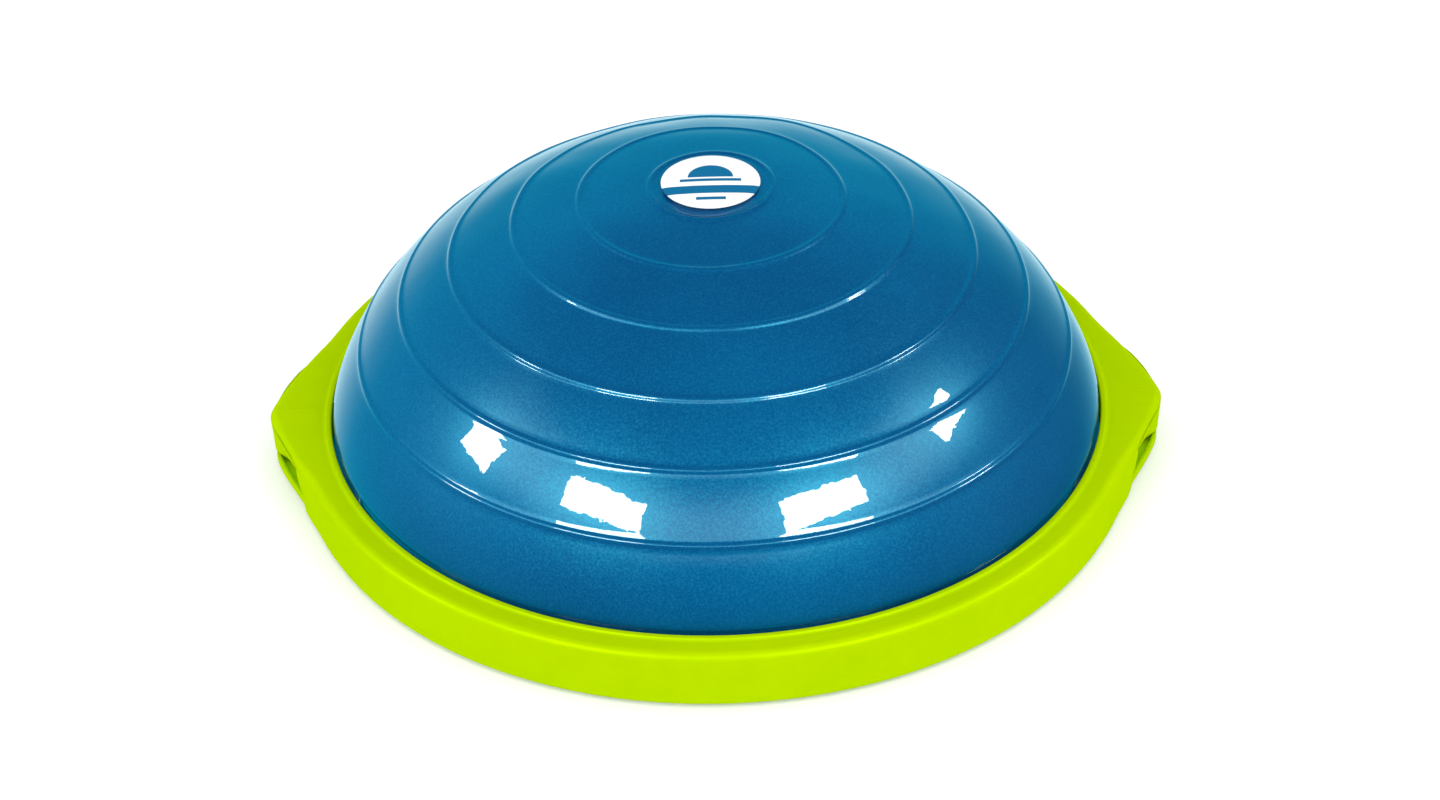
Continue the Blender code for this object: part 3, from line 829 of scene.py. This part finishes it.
def make_rim_cover(material):
    """The rim cover: lip, flat top, shoulder, wall and the two hand holds with their finger slots."""
    cover = loft("rim_cover_shell", cover_section, material, "rim_plastic", "rim_cover")
    cover.visible_glossy = False


def loft(name, section, material, slot, node):
    """A closed ring lofted through the closed sections that stand round Z at the column angles."""
    columns = []
    for angle in column_angles():
        columns.append([(r * math.cos(angle), r * math.sin(angle), z) for r, z in section(angle)])
    size = len(columns[0])
    points = [point for column in columns for point in column]
    faces = []
    for i in range(len(columns)):
        j = (i + 1) % len(columns)
        for k in range(size):
            m = (k + 1) % size
            faces.append((i * size + k, j * size + k, j * size + m, i * size + m))
    obj = add_mesh(name, points, faces, 50)
    return finish_piece(obj, material, "platform", slot, node)


def deck_section(angle):
    """(radius, height) round the base plate's section: underside, outer edge or sill, and inside."""
    near = from_hold(angle)
    edge, sill = DECK_RADIUS, 0.0
    if near < HOLD_REACH:
        reach = hold_radius(near, foot=True)
        y = reach * math.sin(near)
        if reach > DECK_RADIUS and y < SILL_HALF_LENGTH:
            sill = 1.0 - smoothstep(SILL_HALF_LENGTH - SILL_END_BLEND, SILL_HALF_LENGTH, y)
            edge += (reach - edge) * sill
    bottom, well_top = BASE[0].z, BASE[1].z
    points = [(WELL_RADIUS, bottom + WELL_EDGE), (WELL_RADIUS + WELL_EDGE, bottom)]
    place = WELL_RADIUS + WELL_LAND
    for radius in GRIP_RING_RADII:
        points.append(((place + radius - GRIP_RING_HALF_WIDTH) / 2, bottom))
        for i in range(GRIP_RING_POINTS):
            share = i / (GRIP_RING_POINTS - 1) * 2 - 1
            drop = GRIP_RING_HEIGHT * (0.5 + 0.5 * math.cos(math.pi * share))
            points.append((radius + share * GRIP_RING_HALF_WIDTH, bottom - drop))
        place = radius + GRIP_RING_HALF_WIDTH
    points += [(radius, bottom) for radius in (*SOLE_FLAT_RADII, DECK_RADIUS - DECK_EDGE_LAND)]
    round_centre = (edge - DECK_EDGE_ROUND, bottom + DECK_EDGE_ROUND)
    points += arc(round_centre, DECK_EDGE_ROUND, -90, 0, 6)
    rim_top = DECK_TOP_Z + (SILL_TOP_Z - DECK_TOP_Z) * sill
    inner_edge = edge - SILL_WALL
    points += arc((edge - SILL_ROUND, rim_top - SILL_ROUND), SILL_ROUND, 8, 90, 6)
    points += arc((inner_edge + SILL_ROUND, rim_top - SILL_ROUND), SILL_ROUND, 90, 172, 6)
    foot_z = DECK_TOP_Z - SILL_FOOT_DEPTH
    points += [(inner_edge, foot_z + SILL_FOOT_RISE * sill), (inner_edge - SILL_FOOT, foot_z)]
    points += [(radius, DECK_TOP_Z) for radius in DECK_FLAT_RADII]
    well_outer = WELL_RADIUS + WELL_WALL
    points += [(well_outer, DECK_TOP_Z), (well_outer, well_top), (WELL_RADIUS + WELL_EDGE, well_top)]
    points += [(WELL_RADIUS, well_top - WELL_EDGE)]
    return points


def ring_cutters(name, nodes, radius, low, high, steps):
    """Upright cylinders centred on CAD nodes, in one mesh."""
    bm = bmesh.new()
    for node in nodes:
        low_corner, high_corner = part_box(node)
        middle = (low_corner + high_corner) / 2
        made = bmesh.ops.create_cone(
            bm, cap_ends=True, segments=steps, radius1=radius, radius2=radius, depth=high - low
        )
        bmesh.ops.translate(bm, verts=made["verts"], vec=(middle.x, middle.y, (low + high) / 2))
    mesh = bpy.data.meshes.new(name)
    bm.to_mesh(mesh)
    bm.free()
    obj = bpy.data.objects.new(name, mesh)
    bpy.context.scene.collection.objects.link(obj)
    return obj


def make_base_plate(material, screws, feet):
    """The base plate with its sills, cut for the screw heads and the feet."""
    base = loft("base_plate_shell", deck_section, material, "base_plastic", "base_plate")
    head_radius = half_width(SCREW) + HEAD_CLEARANCE
    foot_radius = half_width(FOOT) + FOOT_CLEARANCE
    seat_top = BASE[0].z + FOOT_SEAT_DEPTH
    cut(base, ring_cutters("screw_sinks", screws, head_radius, -CUT_REACH, SINK_TOP_Z, 32))
    cut(base, ring_cutters("foot_seats", feet, foot_radius, -CUT_REACH, seat_top, 64))
    base.data.set_sharp_from_angle(angle=math.radians(35))


def foot_profile():
    """A round rubber foot with a rounded edge and two grooves in its sole."""
    radius = half_width(FOOT)
    top = FOOT[1].z
    profile = [(0.0, top), (radius - FOOT_TOP_EDGE, top), (radius, top - FOOT_TOP_EDGE)]
    profile += arc((radius - FOOT_EDGE_ROUND, FOOT_EDGE_ROUND), FOOT_EDGE_ROUND, 0, -90, 6)
    for groove in FOOT_GROOVES:
        profile += [(groove + FOOT_GROOVE_TOP, 0.0), (groove + FOOT_GROOVE_FLOOR, FOOT_GROOVE_DEPTH)]
        profile += [(groove - FOOT_GROOVE_FLOOR, FOOT_GROOVE_DEPTH), (groove - FOOT_GROOVE_TOP, 0.0)]
    return profile + list(FOOT_DIMPLE)


def make_feet(material, feet):
    """One rubber disc at the place of each foot."""
    for number, node in enumerate(feet, start=1):
        low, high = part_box(node)
        centre = ((low.x + high.x) / 2, (low.y + high.y) / 2)
        foot = turned(f"rubber_foot_{number:02d}", foot_profile(), 72, centre=centre, smooth_angle=35)
        finish_piece(foot, material, "platform", "feet", node)


def screw_profile():
    """Pan head, shank with rolled thread rings, and point, from the tip down to the head."""
    bottom, tip = SCREW[0].z, SCREW[1].z
    radius = half_width(SCREW)
    head_top = bottom + HEAD_HEIGHT
    profile = [(0.0, tip), (SCREW_POINT[0], tip - SCREW_POINT[1])]
    z = tip - THREAD_START
    while z > head_top + THREAD_PITCH:
        profile += [(SHANK_RADIUS, z), (THREAD_RADIUS, z - THREAD_PITCH / 3)]
        profile += [(SHANK_RADIUS, z - 2 * THREAD_PITCH / 3)]
        z -= THREAD_PITCH
    profile += [(SHANK_RADIUS, head_top), (radius - HEAD_TOP_EDGE[0], head_top)]
    profile += [(radius, head_top - HEAD_TOP_EDGE[1])]
    profile += arc((radius - HEAD_ROUND, bottom + HEAD_ROUND), HEAD_ROUND, 0, -78, 7)
    profile += [(HEAD_MIDDLE[0], bottom + HEAD_MIDDLE[1]), (0.0, bottom)]
    return profile


def cross_cutter(bottom):
    """A tapered plus sign that cuts the recess into a screw's head."""
    levels = []
    (arm_outside, half_outside, below), (arm_inside, half_inside, above) = CROSS_OUTSIDE, CROSS_INSIDE
    outside = (arm_outside, half_outside, bottom - below)
    inside = (arm_inside, half_inside, bottom + above)
    for arm, half, z in (outside, inside):
        level = []
        for quarter in range(4):
            spin = Matrix.Rotation(math.pi / 2 * quarter, 3, "Z")
            for corner in ((arm, -half), (arm, half), (half, half)):
                level.append(spin @ Vector((*corner, z)))
        levels.append(level)
    count = len(levels[0])
    faces = [(i, (i + 1) % count, count + (i + 1) % count, count + i) for i in range(count)]
    faces += [tuple(range(count)), tuple(range(count, 2 * count))]
    return add_mesh("cross", levels[0] + levels[1], faces)


def make_screws(material, screws):
    """Screws with a cross recess, each turned by its own amount."""
    bottom = SCREW[0].z
    for number, node in enumerate(screws, start=1):
        low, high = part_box(node)
        centre = Vector(((low.x + high.x) / 2, (low.y + high.y) / 2, 0.0))
        screw = turned(f"cross_screw_{number:02d}", screw_profile(), 40, smooth_angle=35)
        cut(screw, cross_cutter(bottom))
        weld(screw.data, WELD_DISTANCE)
        screw.data.transform(Matrix.Rotation(number * SCREW_TURN, 4, "Z"))
        screw.data.transform(Matrix.Translation(centre))
        screw.data.set_sharp_from_angle(angle=math.radians(35))
        finish_piece(screw, material, "platform", "screws", node)


def valve_profile():
    """The valve body's section: neck, flange, and the bore that takes the plug."""
    bottom, top = VALVE[0].z, VALVE[1].z
    flange = half_width(VALVE)
    neck = VALVE_HOLE_RADIUS - PART_GAP
    flange_top = FLOOR_Z - PART_GAP
    profile = [(VALVE_BORE, top), (neck - VALVE_NECK_EDGE, top), (neck, top - VALVE_NECK_EDGE)]
    profile += [(neck, flange_top), (flange - VALVE_FLANGE_EDGE, flange_top)]
    profile += [(flange, flange_top - VALVE_FLANGE_EDGE)]
    profile += arc((flange - VALVE_EDGE, bottom + VALVE_EDGE), VALVE_EDGE, 0, -90, 5)
    for ring in VALVE_RING_RADII:
        profile += [(ring + VALVE_RING_SIZE, bottom), (ring, bottom + VALVE_RING_SIZE)]
        profile += [(ring - VALVE_RING_SIZE, bottom)]
    profile += [(VALVE_BORE + VALVE_BORE_EDGE, bottom), (VALVE_BORE, bottom + VALVE_BORE_EDGE)]
    return profile


def plug_profile():
    """The plug's section: a barbed stem, a flange and the pull below it."""
    flange_top = VALVE[0].z - PART_GAP
    flange_bottom = flange_top - PLUG_FLANGE_THICKNESS
    radius = half_width(PLUG)
    stem, low, tip = PLUG_STEM_RADIUS, PLUG[0].z, PLUG[1].z
    profile = [(0.0, tip), (stem - PLUG_TIP[0], tip), (stem, tip - PLUG_TIP[1])]
    for depth in PLUG_BARB_DEPTHS:
        barb, groove = tip - depth, stem - PLUG_BARB_SIZE
        start, end, next_barb = (barb - fall for fall in PLUG_BARB_FALLS)
        profile += [(stem, barb), (groove, start), (groove, end), (stem, next_barb)]
    profile += [(stem, flange_top), (radius - PLUG_FLANGE_EDGE, flange_top)]
    profile += [(radius, flange_top - PLUG_FLANGE_EDGE)]
    profile += arc((radius - PLUG_EDGE, flange_bottom + PLUG_EDGE), PLUG_EDGE, 0, -90, 6)
    profile += [(r, flange_bottom + rise) for r, rise in PLUG_FLANGE_GROOVE + PULL_NECK]
    profile += arc((PULL_CENTRE_RADIUS, low + PLUG_EDGE), PLUG_EDGE, 30, -80, 7)
    return profile + [(r, low + rise) for r, rise in PULL_DIMPLE]


def make_valve(rubber, plastic):
    """The valve body in the bladder's floor, and the plug with its pull."""
    body = turned("valve_seat", valve_profile(), PLUG_STEPS, closed=True, smooth_angle=35)
    finish_piece(body, rubber, "platform", "valve_rubber", "valve_body")
    plug = turned("plug_with_pull", plug_profile(), PLUG_STEPS, smooth_angle=35)
    finish_piece(plug, plastic, "plug", "plug", "valve_plug")


# ---------------------------------------------------------------- stage


def make_floor():
    """A wide pale floor under the feet."""
    half = 12.0
    corners = [(-half, -half, 0), (half, -half, 0), (half, half, 0), (-half, half, 0)]
    floor = add_mesh("floor", corners, [(0, 1, 2, 3)])
    s = Shader("floor_paper")
    s.set(Base_Color=s.mix(s.noise(3.0, 2.0), (0.86, 0.86, 0.87, 1.0), (0.88, 0.88, 0.88, 1.0)))
    s.bsdf.inputs["Roughness"].default_value = 0.9
    s.bsdf.inputs["Specular IOR Level"].default_value = 0.0
    s.bsdf.inputs["Emission Color"].default_value = (0.84, 0.78, 1.0, 1.0)
    s.bsdf.inputs["Emission Strength"].default_value = 0.21
    floor.data.materials.append(s.material)
    floor.visible_glossy = False


def make_world():
    """White to the eye and an even soft light. Gloss sees a teal studio with a pale backdrop low behind."""
    world = bpy.data.worlds.new("studio")
    bpy.context.scene.world = world
    world.use_nodes = True
    world.cycles.sampling_method = "NONE"
    tree = world.node_tree
    nodes, links = tree.nodes, tree.links
    nodes.clear()
    place = nodes.new("ShaderNodeTexCoord")
    split = nodes.new("ShaderNodeSeparateXYZ")
    links.new(place.outputs["Generated"], split.inputs[0])

    def ranged(axis, low, high, new_low, new_high):
        node = nodes.new("ShaderNodeMapRange")
        node.interpolation_type = "SMOOTHSTEP"
        for socket, number in zip(node.inputs[1:5], (low, high, new_low, new_high)):
            socket.default_value = number
        links.new(split.outputs[axis], node.inputs[0])
        return node.outputs[0]

    def times(a, b):
        node = nodes.new("ShaderNodeMath")
        node.operation = "MULTIPLY"
        links.new(a, node.inputs[0])
        links.new(b, node.inputs[1])
        return node.outputs[0]

    def background(colour, strength):
        node = nodes.new("ShaderNodeBackground")
        node.inputs["Color"].default_value = colour
        if isinstance(strength, float):
            node.inputs["Strength"].default_value = strength
        else:
            links.new(strength, node.inputs["Strength"])
        return node.outputs[0]

    def add(a, b):
        node = nodes.new("ShaderNodeAddShader")
        links.new(a, node.inputs[0])
        links.new(b, node.inputs[1])
        return node.outputs[0]

    def switch(factor, off, on):
        node = nodes.new("ShaderNodeMixShader")
        for socket, output in zip(node.inputs, (factor, off, on)):
            links.new(output, socket)
        return node.outputs[0]

    teal = times(ranged("Z", 0.55, 0.90, 0.72, 0.0), ranged("X", 0.30, 0.90, 1.0, 0.15))
    teal = times(teal, ranged("Y", -0.60, 0.50, 0.25, 1.0))
    haze = times(ranged("Z", 0.32, 0.54, 0.0, 1.0), ranged("Z", 0.57, 0.78, 1.0, 0.0))
    haze = times(haze, ranged("Y", -0.30, 0.25, 2.4, 0.0))
    pale = times(ranged("Y", 0.57, 0.96, 0.0, 1.0), ranged("Z", -0.50, 0.15, 0.80, 0.0))
    pale = times(pale, ranged("X", 0.10, 0.60, 1.0, 0.25))
    gloss = add(background((0.0, 0.72, 1.0, 1.0), teal), background((1.0, 0.75, 0.62, 1.0), pale))
    gloss = add(gloss, background((0.52, 0.90, 1.0, 1.0), haze))
    path = nodes.new("ShaderNodeLightPath")
    even = background((1.0, 1.0, 1.0, 1.0), 0.78)
    seen = switch(path.outputs["Is Glossy Ray"], even, gloss)
    white = background((1.0, 1.0, 1.0, 1.0), 1.0)
    result = switch(path.outputs["Is Camera Ray"], seen, white)
    output = nodes.new("ShaderNodeOutputWorld")
    links.new(result, output.inputs["Surface"])


def add_softbox(name, azimuth, elevation, width, height, radiance, distance=2.2, glossy=True, diffuse=True):
    """An area light that faces the dome. Azimuth 0 is the camera's side, and 90 is +X."""
    target = Vector((0.0, 0.0, 0.10))
    a, e = math.radians(azimuth), math.radians(elevation)
    way = Vector((math.sin(a) * math.cos(e), -math.cos(a) * math.cos(e), math.sin(e)))
    data = bpy.data.lights.new(name, "AREA")
    data.shape = "RECTANGLE"
    data.size, data.size_y = width, height
    data.energy = radiance * math.pi * width * height
    light = bpy.data.objects.new(name, data)
    bpy.context.scene.collection.objects.link(light)
    light.location = target + way * distance
    light.rotation_euler = way.to_track_quat("Z", "Y").to_euler()
    light.visible_glossy = glossy
    light.visible_diffuse = diffuse


def make_lights():
    """Four bright panes that the gloss shows, each with a soft twin, and wide fills that it doesn't."""
    pane_gloss, pane_soft = 26.0, 5.0
    for name, azimuth, elevation, width, height in (
        ("window_left", -36.6, 32.4, 0.90, 0.38),
        ("window_right", 33.6, 32.6, 0.94, 0.37),
        ("side_left", -82, 25.5, 0.44, 0.34),
        ("side_right", 85, 30.5, 0.46, 0.34),
    ):
        add_softbox(name, azimuth, elevation, width, height, pane_gloss, diffuse=False)
        add_softbox(name + "_soft", azimuth, elevation, width, height, pane_soft, glossy=False)
    add_softbox("overhead", 10, 76, 2.4, 2.4, 1.0, distance=2.6, glossy=False)
    add_softbox("front_fill", 0, 14, 2.6, 0.9, 0.95, distance=3.0, glossy=False)
    for name, azimuth in (("slot_fill_left", -72), ("slot_fill_right", 72)):
        add_softbox(name, azimuth, 9, 1.2, 0.5, 2.2, distance=2.4, glossy=False)


def make_camera():
    """A long lens from the front, 34 degrees above the floor, turned a little off its target."""
    target = Vector((0.0, 0.0, 0.3 * DOME_RADIUS))
    distance, elevation = 10.7364 * DOME_RADIUS, 0.59706
    place = target + distance * Vector((0.0, -math.cos(elevation), math.sin(elevation)))
    forward = (target - place).normalized()
    right = Vector((1.0, 0.0, 0.0))
    down = forward.cross(right)
    turn = Matrix((right, down, forward))
    aside = Matrix.Rotation(-0.00101735, 3, "Y")
    tip = Matrix.Rotation(0.0109114, 3, "X")
    roll = Matrix.Rotation(-0.0240735, 3, "Z")
    rows = roll @ tip @ aside @ turn
    data = bpy.data.cameras.new("camera")
    data.sensor_width = 36.0
    data.lens = 103.4035
    data.clip_start = 0.05
    data.clip_end = 100.0
    camera = bpy.data.objects.new("camera", data)
    bpy.context.scene.collection.objects.link(camera)
    axes = Matrix((rows[0], -rows[1], -rows[2])).transposed().to_4x4()
    camera.matrix_world = Matrix.Translation(place) @ axes
    bpy.context.scene.camera = camera


def main():
    """Makes the camera, the pieces, the floor and the light."""
    make_camera()
    screws = sorted(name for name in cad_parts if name.startswith("screw_"))
    feet = sorted(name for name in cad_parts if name.startswith("foot_"))
    pvc = dome_material()
    make_dome(pvc)
    make_bladder_floor(pvc)
    make_label(label_material(LABEL[1].x))
    make_rim_cover(lime_material("rim_lime", 900.0, 0.00006, 0.34, 0.46))
    make_base_plate(lime_material("base_lime", 650.0, 0.00012, 0.44, 0.60), screws, feet)
    make_feet(rubber_material("foot_rubber", (0.018, 0.018, 0.020, 1.0), (0.06, 0.06, 0.062, 1.0)), feet)
    make_screws(steel_material(), screws)
    valve_rubber = rubber_material("valve_rubber", (0.0, 0.07, 0.20, 1.0), (0.01, 0.12, 0.28, 1.0))
    make_valve(valve_rubber, plug_material())
    make_floor()
    make_world()
    make_lights()
    bpy.context.scene.view_settings.view_transform = "Standard"


main()
